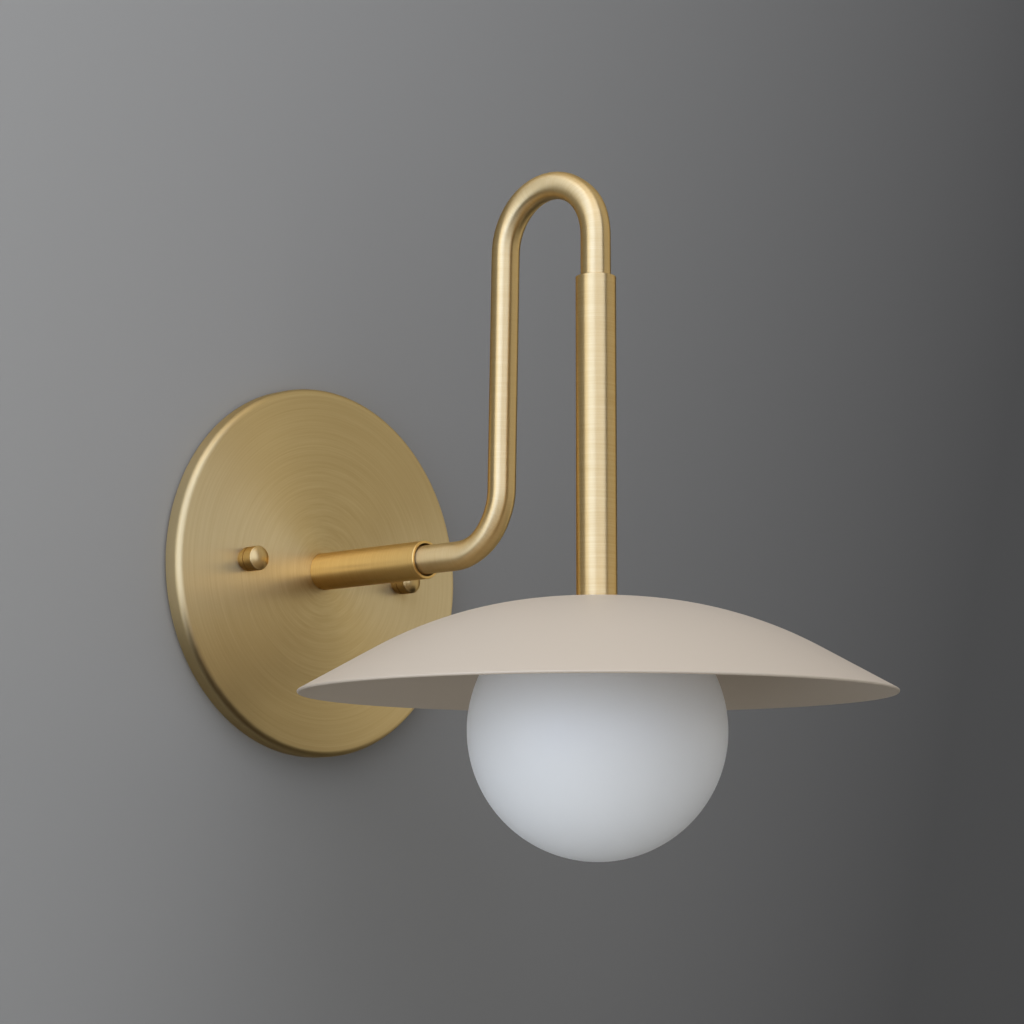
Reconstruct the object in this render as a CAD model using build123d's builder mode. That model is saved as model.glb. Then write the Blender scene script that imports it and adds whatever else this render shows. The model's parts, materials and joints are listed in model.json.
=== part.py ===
"""Globe wall sconce: canopy, bent tube arm, stem, dished shade, and an opal globe screwed on over a pin lamp.

The wall is the plane y = 0 and the light stands out from it along -Y, with Z up. The origin is where the
canopy's axis meets the wall. Lengths are millimetres and angles are degrees.
"""
import os
from math import acos, cos, degrees, hypot, radians, sin, sqrt

from build123d import *

# Fits shared by all pieces
THREAD_GAP = 0.05  # radial room between a plain thread and its tapped hole
SLIP_GAP = 0.3  # room round a piece that passes beside or through another

# Canopy, a shallow spun cup against the wall
CANOPY_D = 127.0
CANOPY_DEPTH = 6.6
CANOPY_WALL = 1.0
CANOPY_EDGE_R = 2.3

# Wall plate, a steel ring screwed to the outlet box, with two studs that carry the canopy
PLATE_T = 1.6
PLATE_BORE_D = 45.0
PLATE_LAND = 4.55
BOX_SCREW_CIRCLE_D = 88.9
BOX_SCREW_HOLE_D = 4.8
CLOCKING = 2.0  # the stud line drops to the right by this angle
GROUND_ANGLE = 45.0  # the earth screw's turn from the upper box screw
STUD_SPACING = 69.85
STUD_D = 4.17
STUD_NUT_AF = 8.7
STUD_NUT_T = 2.4
GROUND_SCREW_D = 4.8
GROUND_HEAD_AF = 7.9
GROUND_HEAD_T = 1.7
GROUND_FLANGE_D = 10.0
GROUND_FLANGE_T = 0.7

# Cap nuts in front of the canopy, each with a foot ring, a groove and a low domed end, on a narrow washer
CAP_NUT_D = 8.2
CAP_NUT_H = 6.8
CAP_NUT_FOOT_T = 1.4
CAP_NUT_GROOVE_W = 0.4
CAP_NUT_GROOVE_DEPTH = 0.3
CAP_NUT_DOME_H = 1.6
CAP_NUT_TOP = 2.2
CAP_WASHER_D = 6.8
CAP_WASHER_T = 1.7

# Bent arm, a tube that leaves the canopy straight, climbs, and turns over into the stem
ARM_D = 9.525
ARM_WALL = 1.0
ARM_STRAIGHT = 14.5  # shown between the sleeve and the elbow
ELBOW_R = 20.0
ARM_RISE = 116.4  # centreline of the top bend above the canopy's axis
BEND_R = 20.0
LEG_LEAN = 1.2  # the climbing leg leans away from the wall
ARM_DROP = 13.3  # shown between the top bend and the stem
ARM_INSERT = 20.0  # length hidden in the sleeve and in the stem

# Sleeve at the canopy and stem above the shade, both tapped for the arm's pipe thread
SLEEVE_L = 50.8
SLEEVE_WALL = 1.5375
STEM_L = 101.6
STEM_WALL = 1.5375
MOUTH_GAP = 0.75  # radial gap round the arm in a counterbored mouth
MOUTH_DEPTH = 8.0
TUBE_CHAMFER = 0.25

# Threaded nipples and what holds them
NIPPLE_WALL = 1.5
NIPPLE_INSERT = 12.0
NIPPLE_PROUD = 0.3
LOCKNUT_AF = 14.3
LOCKNUT_T = 2.2
LOCK_WASHER_D = 15.0
LOCK_WASHER_T = 0.7
BUSHING_FLANGE_D = 11.0
BUSHING_FLANGE_T = 0.8
BUSHING_SNOUT_L = 3.5
BUSHING_WALL = 0.8

# Shade, a dished sheet with a flat crown, a round shoulder and a straight skirt
SHADE_D = 184.15
SHADE_WALL = 1.0
SHADE_SKIRT_ANGLE = 29.0
SHADE_SKIRT_W = 23.0
SHADE_CROWN_LAND = 0.65

# Opal globe with a tapped collar turned in at its mouth, and the holder that it screws to
GLOBE_D = 80.0
GLOBE_WALL = 2.2
GLOBE_COLLAR_DEPTH = 10.0
GLOBE_THREAD_GAP = 0.3
GASKET_T = 0.6
FLANGE_T = 1.2
FLANGE_LAND = 2.2
SPIGOT_WALL = 1.2

# Socket bridge and ceramic socket
BRIDGE_T = 1.2
BRIDGE_W = 12.0
BRIDGE_NUT_ROOM = 0.75
WIRE_ROOM = 2.1
SOCKET_L = 17.0
SOCKET_DEPTH = 13.0
SOCKET_CORNER_R = 4.0
SOCKET_SIDE_GAP = 0.1
SOCKET_SCREW_D = 3.0
SOCKET_SCREW_L = 2.8
SOCKET_SCREW_DROP = 6.0
SOCKET_HEAD_D = 5.0
SOCKET_HEAD_T = 1.6
WIRE_HOLE_D = 2.2

# Two-pin lamp
PIN_SPACING = 9.0
PIN_WIRE_D = 1.0
PIN_LOOP_R = 1.5
PIN_L = 8.5
CONTACT_T = 0.6
CONTACT_PIN_GAP = 0.15
CONTACT_BACK_GAP = 0.1
NIB_W = 14.6
NIB_T = 6.0
NIB_H = 4.0
LAMP_D = 16.0
LAMP_BASE_L = 9.0
LAMP_BASE_EDGE_R = 1.0
CAPSULE_D = 15.0
CAPSULE_WALL = 1.0
CAPSULE_LIP = 2.0
LAMP_ROOM = 22.0  # under the lamp, so that it can be pulled out of its socket
BOARD_W = 9.0
BOARD_T = 1.0
BOARD_SEAT = 1.5

# Canopy and wall plate, worked out from the values above
canopy_r = CANOPY_D / 2
canopy_inside = CANOPY_DEPTH - CANOPY_WALL
plate_r = BOX_SCREW_CIRCLE_D / 2 + PLATE_LAND
stud_tap_r = STUD_D / 2 + THREAD_GAP
ground_r = (plate_r + PLATE_BORE_D / 2) / 2
washer_front = CANOPY_DEPTH + CAP_WASHER_T
stud_end = washer_front + CAP_NUT_H - CAP_NUT_TOP - SLIP_GAP
cap_nut_r = CAP_NUT_D / 2
cap_groove_r = cap_nut_r - CAP_NUT_GROOVE_DEPTH
cap_groove_end = CAP_NUT_FOOT_T + CAP_NUT_GROOVE_W
cap_side_end = CAP_NUT_H - CAP_NUT_DOME_H
cap_dome_r = (cap_nut_r**2 + CAP_NUT_DOME_H**2) / (2 * CAP_NUT_DOME_H)
cap_dome_half = CAP_NUT_H - cap_dome_r + sqrt(cap_dome_r**2 - (cap_nut_r / 2) ** 2)
cap_bore_end = CAP_NUT_H - CAP_NUT_TOP
pipe_r = ARM_D / 2
pipe_tap_r = pipe_r + THREAD_GAP
nipple_bore_r = pipe_r - NIPPLE_WALL
locknut_front = canopy_inside - LOCK_WASHER_T
locknut_back = locknut_front - LOCKNUT_T
nipple_back = locknut_back - NIPPLE_PROUD

# Arm centreline, as reach from the wall and height above the canopy's axis
lean = radians(LEG_LEAN)
sleeve_r = pipe_tap_r + SLEEVE_WALL
sleeve_end = CANOPY_DEPTH + SLEEVE_L
arm_start = sleeve_end - ARM_INSERT
elbow_start = sleeve_end + ARM_STRAIGHT
bend_z = ARM_RISE - BEND_R
leg_l = (bend_z + (BEND_R + ELBOW_R) * sin(lean) - ELBOW_R) / cos(lean)
leg_foot = (elbow_start + ELBOW_R * cos(lean), ELBOW_R * (1 - sin(lean)))
leg_head = (leg_foot[0] + leg_l * sin(lean), leg_foot[1] + leg_l * cos(lean))
reach = leg_head[0] + BEND_R * (1 + cos(lean))

# Stem, shade and globe, from the top down
stem_r = pipe_tap_r + STEM_WALL
stem_top = bend_z - ARM_DROP
arm_end = stem_top - ARM_INSERT
crown_z = stem_top - STEM_L
crown_r = stem_r + SHADE_CROWN_LAND
crown_under = crown_z - SHADE_WALL
shoulder_r = (SHADE_D / 2 - SHADE_SKIRT_W - crown_r) / sin(radians(SHADE_SKIRT_ANGLE))
skirt_l = SHADE_SKIRT_W / cos(radians(SHADE_SKIRT_ANGLE))
bridge_inner = LOCKNUT_AF / sqrt(3) + BRIDGE_NUT_ROOM
bridge_outer = bridge_inner + BRIDGE_T
spigot_bore_r = hypot(bridge_outer, BRIDGE_W / 2) + SLIP_GAP
spigot_r = spigot_bore_r + SPIGOT_WALL
mouth_r = spigot_r + GLOBE_THREAD_GAP
collar_r = mouth_r + GLOBE_WALL
flange_r = collar_r + FLANGE_LAND
shoulder_in_r = shoulder_r - SHADE_WALL
crown_sag = shoulder_in_r - sqrt(shoulder_in_r**2 - (flange_r - crown_r) ** 2)
flange_top = crown_under - crown_sag - SLIP_GAP
flange_under = flange_top - FLANGE_T
rim_z = flange_under - GASKET_T
collar_end = rim_z - GLOBE_COLLAR_DEPTH
globe_r = GLOBE_D / 2
globe_in_r = globe_r - GLOBE_WALL
globe_z = rim_z - sqrt(globe_r**2 - collar_r**2)
globe_floor = globe_z - globe_in_r

# Socket and lamp, from the top down
bridge_under = flange_under - BRIDGE_T
holder_nut_top = bridge_under - LOCK_WASHER_T
holder_nut_under = holder_nut_top - LOCKNUT_T
stem_nipple_end = holder_nut_under - NIPPLE_PROUD
socket_top = stem_nipple_end - WIRE_ROOM
socket_under = socket_top - SOCKET_L
socket_half = bridge_inner - SOCKET_SIDE_GAP
screw_z = socket_top - SOCKET_SCREW_DROP
screw_tap_r = SOCKET_SCREW_D / 2 + THREAD_GAP
screw_depth = SOCKET_SCREW_L - BRIDGE_T + SLIP_GAP
bridge_foot = screw_z - SOCKET_HEAD_D
nib_top = socket_under + NIB_H
nib_recess_top = nib_top + SLIP_GAP
pin_top = nib_top + PIN_L
loop_z = pin_top - PIN_WIRE_D / 2 - PIN_LOOP_R
contact_top = pin_top + SLIP_GAP + CONTACT_T
slot_top = contact_top + SLIP_GAP
slot_half_w = PIN_LOOP_R + PIN_WIRE_D / 2 + SLIP_GAP
contact_in = PIN_WIRE_D / 2 + CONTACT_PIN_GAP
contact_out = contact_in + CONTACT_T
slot_half_t = contact_out + CONTACT_BACK_GAP
base_top = socket_under - SLIP_GAP
base_under = base_top - LAMP_BASE_L
capsule_r = CAPSULE_D / 2
capsule_in_r = capsule_r - CAPSULE_WALL
capsule_top = base_under + CAPSULE_LIP
capsule_end = globe_floor + LAMP_ROOM
capsule_dome_z = capsule_end + capsule_r
board_top = capsule_top + BOARD_SEAT
board_end = capsule_dome_z - capsule_in_r / 2

# Planes: the wall plane is turned with the stud line, and the lamp's planes stand on the stem's axis
wall = Plane(origin=(0, 0, 0), x_dir=(cos(radians(CLOCKING)), 0, -sin(radians(CLOCKING))), z_dir=(0, -1, 0))
stud_places = [(-STUD_SPACING / 2, 0), (STUD_SPACING / 2, 0)]
box_places = [(0, BOX_SCREW_CIRCLE_D / 2), (0, -BOX_SCREW_CIRCLE_D / 2)]
ground_place = (-ground_r * sin(radians(GROUND_ANGLE)), ground_r * cos(radians(GROUND_ANGLE)))
pin_places = [(-PIN_SPACING / 2, 0), (PIN_SPACING / 2, 0)]
lamp_front = Plane.XZ.offset(reach)
lamp_side = Plane(origin=(0, -reach, 0), x_dir=(0, 1, 0), z_dir=(1, 0, 0))
lamp_axis = Axis((0, -reach, 0), (0, 0, 1))


def level(z):
    """The horizontal plane at height z, centred on the stem's axis."""
    return Plane(origin=(0, -reach, z))


def arm_point(out, up):
    """A point of the arm's centreline, from its reach off the wall and its height."""
    return (0, -out, up)


# Ring that stays on the outlet box
with BuildPart() as mounting_plate:
    with BuildSketch(wall):
        Circle(plate_r)
        Circle(PLATE_BORE_D / 2, mode=Mode.SUBTRACT)
        with Locations(*box_places):
            Circle(BOX_SCREW_HOLE_D / 2, mode=Mode.SUBTRACT)
        with Locations(*stud_places):
            Circle(stud_tap_r, mode=Mode.SUBTRACT)
        with Locations(ground_place):
            Circle(GROUND_SCREW_D / 2 + THREAD_GAP, mode=Mode.SUBTRACT)
    extrude(amount=PLATE_T)

# Earth screw with a flanged hexagon head
with BuildPart() as ground_screw:
    with BuildSketch(wall):
        with Locations(ground_place):
            Circle(GROUND_SCREW_D / 2)
    extrude(amount=PLATE_T)
    with BuildSketch(wall.offset(PLATE_T)):
        with Locations(ground_place):
            Circle(GROUND_FLANGE_D / 2)
    extrude(amount=GROUND_FLANGE_T)
    with BuildSketch(wall.offset(PLATE_T + GROUND_FLANGE_T)):
        with Locations(ground_place):
            RegularPolygon(GROUND_HEAD_AF / 2, 6, major_radius=False)
    extrude(amount=GROUND_HEAD_T)

# Two studs screwed through the plate, their locking nuts, and the washers and cap nuts in front
with BuildPart() as canopy_studs:
    with BuildSketch(wall):
        with Locations(*stud_places):
            Circle(STUD_D / 2)
    extrude(amount=stud_end)

with BuildPart() as stud_nuts:
    with BuildSketch(wall.offset(PLATE_T)):
        with Locations(*stud_places):
            RegularPolygon(STUD_NUT_AF / 2, 6, major_radius=False)
            Circle(stud_tap_r, mode=Mode.SUBTRACT)
    extrude(amount=STUD_NUT_T)

with BuildPart() as cap_nut_washers:
    with BuildSketch(wall.offset(CANOPY_DEPTH)):
        with Locations(*stud_places):
            Circle(CAP_WASHER_D / 2)
            Circle(STUD_D / 2 + SLIP_GAP, mode=Mode.SUBTRACT)
    extrude(amount=CAP_WASHER_T)

with BuildPart() as cap_nuts:
    for place in stud_places:
        foot = wall.from_local_coords((*place, washer_front))
        with BuildSketch(Plane(origin=foot, x_dir=wall.x_dir, z_dir=-wall.y_dir)):
            with BuildLine():
                Polyline(
                    (0, CAP_NUT_H),
                    (0, cap_bore_end),
                    (stud_tap_r, cap_bore_end),
                    (stud_tap_r, 0),
                    (cap_nut_r, 0),
                    (cap_nut_r, CAP_NUT_FOOT_T),
                    (cap_groove_r, CAP_NUT_FOOT_T),
                    (cap_groove_r, cap_groove_end),
                    (cap_nut_r, cap_groove_end),
                    (cap_nut_r, cap_side_end),
                )
                ThreePointArc((cap_nut_r, cap_side_end), (cap_nut_r / 2, cap_dome_half), (0, CAP_NUT_H))
            make_face()
        revolve(axis=Axis(foot, wall.z_dir))

# Canopy, a disc with a rounded front edge, hollowed from the wall side and pierced
with BuildPart() as canopy:
    with BuildSketch(wall):
        Circle(canopy_r)
    extrude(amount=CANOPY_DEPTH)
    fillet(canopy.edges().group_by(Axis.Y)[0], CANOPY_EDGE_R)
    offset(amount=-CANOPY_WALL, openings=canopy.faces().sort_by(Axis.Y)[-1])
    with BuildSketch(wall.offset(canopy_inside)):
        Circle(pipe_r + SLIP_GAP)
        with Locations(*stud_places):
            Circle(STUD_D / 2 + SLIP_GAP)
    extrude(amount=CANOPY_WALL, mode=Mode.SUBTRACT)

# Nipple that joins the sleeve to the canopy, with its lock washer, locknut and wire bushing
with BuildPart() as canopy_nipple:
    with BuildSketch(wall.offset(nipple_back)):
        Circle(pipe_r)
        Circle(nipple_bore_r, mode=Mode.SUBTRACT)
    extrude(amount=CANOPY_DEPTH + NIPPLE_INSERT - nipple_back)

with BuildPart() as canopy_lock_washer:
    with BuildSketch(wall.offset(locknut_front)):
        Circle(LOCK_WASHER_D / 2)
        Circle(pipe_tap_r, mode=Mode.SUBTRACT)
    extrude(amount=LOCK_WASHER_T)

with BuildPart() as canopy_locknut:
    with BuildSketch(wall.offset(locknut_back)):
        RegularPolygon(LOCKNUT_AF / 2, 6, major_radius=False)
        Circle(pipe_tap_r, mode=Mode.SUBTRACT)
    extrude(amount=LOCKNUT_T)

with BuildPart() as wire_bushing:
    with BuildSketch(wall.offset(nipple_back)):
        Circle(BUSHING_FLANGE_D / 2)
    extrude(amount=-BUSHING_FLANGE_T)
    with BuildSketch(wall.offset(nipple_back)):
        Circle(nipple_bore_r - THREAD_GAP)
    extrude(amount=BUSHING_SNOUT_L)
    with BuildSketch(wall.offset(nipple_back - BUSHING_FLANGE_T)):
        Circle(nipple_bore_r - THREAD_GAP - BUSHING_WALL)
    extrude(amount=BUSHING_FLANGE_T + BUSHING_SNOUT_L, mode=Mode.SUBTRACT)

# Sleeve, tapped right through, with a wider mouth round the arm
with BuildPart() as wall_sleeve:
    with BuildSketch(wall.offset(CANOPY_DEPTH)):
        Circle(sleeve_r)
        Circle(pipe_tap_r, mode=Mode.SUBTRACT)
    extrude(amount=SLEEVE_L)
    with BuildSketch(wall.offset(sleeve_end)):
        Circle(pipe_r + MOUTH_GAP)
    extrude(amount=-MOUTH_DEPTH, mode=Mode.SUBTRACT)
    chamfer(wall_sleeve.edges().group_by(Axis.Y)[0].group_by(SortBy.RADIUS)[-1], TUBE_CHAMFER)

# Bent arm, one tube swept along two straights, an elbow, the leaning leg and the top bend
with BuildPart() as bent_arm:
    with BuildLine() as arm_path:
        inlet = Line(arm_point(arm_start, 0), arm_point(elbow_start, 0))
        elbow = TangentArc(inlet @ 1, arm_point(*leg_foot), tangent=inlet % 1)
        leg = Line(elbow @ 1, arm_point(*leg_head))
        top_bend = TangentArc(leg @ 1, arm_point(reach, bend_z), tangent=leg % 1)
        Line(top_bend @ 1, arm_point(reach, arm_end))
    with BuildSketch(Plane(origin=inlet @ 0, z_dir=inlet % 0)):
        Circle(ARM_D / 2)
        Circle(ARM_D / 2 - ARM_WALL, mode=Mode.SUBTRACT)
    sweep()

# Stem, tapped for the arm above and for the nipple below, with the same wider mouth
with BuildPart() as stem_tube:
    with BuildSketch(level(crown_z)):
        Circle(stem_r)
        Circle(pipe_tap_r, mode=Mode.SUBTRACT)
    extrude(amount=STEM_L)
    with BuildSketch(level(stem_top)):
        Circle(pipe_r + MOUTH_GAP)
    extrude(amount=-MOUTH_DEPTH, mode=Mode.SUBTRACT)
    chamfer(stem_tube.edges().group_by(Axis.Z)[-1].group_by(SortBy.RADIUS)[-1], TUBE_CHAMFER)

with BuildPart() as stem_nipple:
    with BuildSketch(level(stem_nipple_end)):
        Circle(pipe_r)
        Circle(nipple_bore_r, mode=Mode.SUBTRACT)
    extrude(amount=crown_z + NIPPLE_INSERT - stem_nipple_end)


def shade_line(depth):
    """One side of the shade's section, from the crown's hole to the rim, at a depth below the outside."""
    crown = Line((pipe_r + SLIP_GAP, crown_z - depth), (crown_r, crown_z - depth))
    shoulder = JernArc(crown @ 1, (1, 0), shoulder_r - depth, -SHADE_SKIRT_ANGLE)
    skirt = PolarLine(shoulder @ 1, skirt_l, -SHADE_SKIRT_ANGLE)
    return crown @ 0, skirt @ 1


# Shade, one sheet spun round the stem's axis
with BuildPart() as shade:
    with BuildSketch(lamp_front):
        with BuildLine():
            outer_hole, outer_rim = shade_line(0)
            inner_hole, inner_rim = shade_line(SHADE_WALL)
            Line(outer_hole, inner_hole)
            Line(outer_rim, inner_rim)
        make_face()
    revolve(axis=lamp_axis)

# Holder under the shade: a boss against the crown, a flange for the gasket and a threaded spigot
with BuildPart() as holder_cup:
    with BuildSketch(level(crown_under)):
        Circle(crown_r)
    extrude(amount=flange_top - crown_under)
    with BuildSketch(level(flange_top)):
        Circle(flange_r)
    extrude(amount=-FLANGE_T)
    with BuildSketch(level(flange_under)):
        Circle(spigot_r)
        Circle(spigot_bore_r, mode=Mode.SUBTRACT)
    extrude(amount=collar_end - flange_under)
    with BuildSketch(level(crown_under)):
        Circle(pipe_tap_r)
    extrude(amount=flange_under - crown_under, mode=Mode.SUBTRACT)

with BuildPart() as globe_gasket:
    with BuildSketch(level(rim_z)):
        Circle(collar_r)
        Circle(mouth_r, mode=Mode.SUBTRACT)
    extrude(amount=GASKET_T)

# Globe, a blown ball whose ground mouth turns in as a tapped collar
with BuildPart() as opal_globe:
    with BuildSketch(lamp_front):
        with BuildLine():
            outside = CenterArc((0, globe_z), globe_r, -90, 90 + degrees(acos(collar_r / globe_r)))
            inside = CenterArc((0, globe_z), globe_in_r, -90, 90 + degrees(acos(collar_r / globe_in_r)))
            Polyline(
                inside @ 1,
                (collar_r, collar_end),
                (mouth_r, collar_end),
                (mouth_r, rim_z),
                outside @ 1,
            )
            Line(outside @ 0, inside @ 0)
        make_face()
    revolve(axis=lamp_axis)

# Bridge, a strap bent down on both sides of the nut to grip the socket
with BuildPart() as socket_bridge:
    with BuildSketch(lamp_front):
        with BuildLine():
            Polyline(
                (-bridge_outer, bridge_foot),
                (-bridge_outer, flange_under),
                (bridge_outer, flange_under),
                (bridge_outer, bridge_foot),
                (bridge_inner, bridge_foot),
                (bridge_inner, bridge_under),
                (-bridge_inner, bridge_under),
                (-bridge_inner, bridge_foot),
                close=True,
            )
        make_face()
    extrude(amount=BRIDGE_W / 2, both=True)
    with BuildSketch(level(flange_under)):
        Circle(pipe_tap_r)
    extrude(amount=-BRIDGE_T, mode=Mode.SUBTRACT)
    with BuildSketch(lamp_side):
        with Locations((0, screw_z)):
            Circle(screw_tap_r)
    extrude(amount=bridge_outer, both=True, mode=Mode.SUBTRACT)

with BuildPart() as holder_washer:
    with BuildSketch(level(bridge_under)):
        Circle(LOCK_WASHER_D / 2)
        Circle(pipe_tap_r, mode=Mode.SUBTRACT)
    extrude(amount=-LOCK_WASHER_T)

with BuildPart() as holder_locknut:
    with BuildSketch(level(holder_nut_top)):
        RegularPolygon(LOCKNUT_AF / 2, 6, major_radius=False)
        Circle(pipe_tap_r, mode=Mode.SUBTRACT)
    extrude(amount=-LOCKNUT_T)

# Ceramic socket: a recess for the lamp's nib, two contact slots above it and two wire holes
with BuildPart() as socket_body:
    with BuildSketch(level(socket_under)):
        RectangleRounded(2 * socket_half, SOCKET_DEPTH, SOCKET_CORNER_R)
    extrude(amount=SOCKET_L)
    with BuildSketch(level(socket_under)):
        Rectangle(NIB_W + 2 * SLIP_GAP, NIB_T + 2 * SLIP_GAP)
    extrude(amount=nib_recess_top - socket_under, mode=Mode.SUBTRACT)
    with BuildSketch(level(nib_recess_top)):
        with Locations(*pin_places):
            Rectangle(2 * slot_half_w, 2 * slot_half_t)
    extrude(amount=slot_top - nib_recess_top, mode=Mode.SUBTRACT)
    with BuildSketch(level(socket_top)):
        with Locations(*pin_places):
            Circle(WIRE_HOLE_D / 2)
    extrude(amount=slot_top - socket_top, mode=Mode.SUBTRACT)
    for side in (-1, 1):
        with BuildSketch(lamp_side.offset(side * socket_half)):
            with Locations((0, screw_z)):
                Circle(screw_tap_r)
        extrude(amount=-side * screw_depth, mode=Mode.SUBTRACT)

# Spring contacts, a folded clip in each slot with a leaf on either side of the pin
with BuildPart() as socket_contacts:
    with BuildSketch(level(nib_recess_top)):
        with Locations(*pin_places):
            Rectangle(2 * (slot_half_w - CONTACT_BACK_GAP), 2 * contact_out)
    extrude(amount=contact_top - nib_recess_top)
    with BuildSketch(level(nib_recess_top)):
        with Locations(*pin_places):
            Rectangle(2 * slot_half_w, 2 * contact_in)
    extrude(amount=contact_top - CONTACT_T - nib_recess_top, mode=Mode.SUBTRACT)

# Screws through the bridge into the sides of the socket
with BuildPart() as socket_screws:
    for side in (-1, 1):
        with BuildSketch(lamp_side.offset(side * bridge_outer)):
            with Locations((0, screw_z)):
                Circle(SOCKET_HEAD_D / 2)
        extrude(amount=side * SOCKET_HEAD_T)
        with BuildSketch(lamp_side.offset(side * bridge_outer)):
            with Locations((0, screw_z)):
                Circle(SOCKET_SCREW_D / 2)
        extrude(amount=-side * SOCKET_SCREW_L)

# Lamp base with the nib that enters the socket, the two wire pins, the frosted capsule and the LED strip
with BuildPart() as lamp_base:
    with BuildSketch(level(base_top)):
        Circle(LAMP_D / 2)
    extrude(amount=-LAMP_BASE_L)
    fillet(lamp_base.edges().filter_by(GeomType.CIRCLE), LAMP_BASE_EDGE_R)
    with BuildSketch(level(base_top)):
        Rectangle(NIB_W, NIB_T)
    extrude(amount=nib_top - base_top)
    with BuildSketch(level(base_under)):
        Circle(capsule_r + THREAD_GAP)
    extrude(amount=CAPSULE_LIP, mode=Mode.SUBTRACT)
    with BuildSketch(level(capsule_top)):
        Rectangle(BOARD_W + 2 * THREAD_GAP, BOARD_T + 2 * THREAD_GAP)
    extrude(amount=BOARD_SEAT, mode=Mode.SUBTRACT)

with BuildPart() as lamp_pins:
    for pin_x, _ in pin_places:
        with BuildLine():
            rise = Line((pin_x - PIN_LOOP_R, -reach, nib_top), (pin_x - PIN_LOOP_R, -reach, loop_z))
            loop = TangentArc(rise @ 1, (pin_x + PIN_LOOP_R, -reach, loop_z), tangent=rise % 1)
            Line(loop @ 1, (pin_x + PIN_LOOP_R, -reach, nib_top))
        with BuildSketch(Plane(origin=rise @ 0, z_dir=rise % 0)):
            Circle(PIN_WIRE_D / 2)
        sweep()

with BuildPart() as lamp_capsule:
    with BuildSketch(lamp_front):
        with BuildLine():
            dome = CenterArc((0, capsule_dome_z), capsule_r, -90, 90)
            hollow = CenterArc((0, capsule_dome_z), capsule_in_r, -90, 90)
            Polyline(dome @ 1, (capsule_r, capsule_top), (capsule_in_r, capsule_top), hollow @ 1)
            Line(dome @ 0, hollow @ 0)
        make_face()
    revolve(axis=lamp_axis)

with BuildPart() as lamp_led_board:
    with BuildSketch(level(board_top)):
        Rectangle(BOARD_W, BOARD_T)
    extrude(amount=board_end - board_top)

# One STEP file for each piece, named after it
pieces = {
    "mounting_plate": mounting_plate,
    "ground_screw": ground_screw,
    "canopy_studs": canopy_studs,
    "stud_nuts": stud_nuts,
    "cap_nut_washers": cap_nut_washers,
    "cap_nuts": cap_nuts,
    "canopy": canopy,
    "canopy_nipple": canopy_nipple,
    "canopy_lock_washer": canopy_lock_washer,
    "canopy_locknut": canopy_locknut,
    "wire_bushing": wire_bushing,
    "wall_sleeve": wall_sleeve,
    "bent_arm": bent_arm,
    "stem_tube": stem_tube,
    "stem_nipple": stem_nipple,
    "shade": shade,
    "holder_cup": holder_cup,
    "globe_gasket": globe_gasket,
    "opal_globe": opal_globe,
    "socket_bridge": socket_bridge,
    "holder_washer": holder_washer,
    "holder_locknut": holder_locknut,
    "socket_body": socket_body,
    "socket_contacts": socket_contacts,
    "socket_screws": socket_screws,
    "lamp_base": lamp_base,
    "lamp_pins": lamp_pins,
    "lamp_capsule": lamp_capsule,
    "lamp_led_board": lamp_led_board,
}
os.makedirs("parts", exist_ok=True)
for name, piece in pieces.items():
    piece.part.label = name
    export_step(piece.part, f"parts/{name}.step")

print(f"reach {reach:.2f}, stem top {stem_top:.2f}, crown {crown_z:.2f}, globe centre {globe_z:.2f}")
print(f"globe mouth {2 * mouth_r:.2f}, lamp end {capsule_end:.2f}, globe floor {globe_floor:.2f}")
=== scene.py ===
"""Globe wall sconce: the finished pieces, their materials, and the stage, light and camera round them.

Every length is in metres. Sizes are read from the frame, or named in millimetres below.
"""
import json
import math

import bpy
from mathutils import Matrix, Quaternion, Vector


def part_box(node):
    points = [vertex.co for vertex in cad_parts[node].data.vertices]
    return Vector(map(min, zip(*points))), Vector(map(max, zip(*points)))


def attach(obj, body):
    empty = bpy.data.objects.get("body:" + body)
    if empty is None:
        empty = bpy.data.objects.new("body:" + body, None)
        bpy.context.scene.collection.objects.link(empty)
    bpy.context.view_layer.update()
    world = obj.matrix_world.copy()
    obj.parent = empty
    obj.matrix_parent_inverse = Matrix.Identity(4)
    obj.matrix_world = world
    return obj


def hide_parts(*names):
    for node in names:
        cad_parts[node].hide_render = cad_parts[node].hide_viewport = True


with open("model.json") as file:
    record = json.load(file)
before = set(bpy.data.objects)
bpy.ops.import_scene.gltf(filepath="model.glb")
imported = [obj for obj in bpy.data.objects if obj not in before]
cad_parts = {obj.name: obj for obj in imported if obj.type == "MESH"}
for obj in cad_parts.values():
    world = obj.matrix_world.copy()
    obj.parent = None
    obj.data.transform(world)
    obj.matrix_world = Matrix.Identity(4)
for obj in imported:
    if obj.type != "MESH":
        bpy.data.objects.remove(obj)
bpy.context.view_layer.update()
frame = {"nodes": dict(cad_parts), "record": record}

MM = 0.001
UP = Vector((0, 0, 1))
OUT = Vector((0, -1, 0))  # away from the wall
ACROSS = Vector((1, 0, 0))
ORIGIN = Vector((0, 0, 0))

# How finely round pieces are turned, welded and shaded
TURN_STEPS = 160
SHADE_STEPS = 240
SMALL_STEPS = 64
HEX_STEPS = 6
ARC_STEPS = 10
WELD = 0.001 * MM
SMOOTH_ANGLE = math.radians(25)

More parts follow.
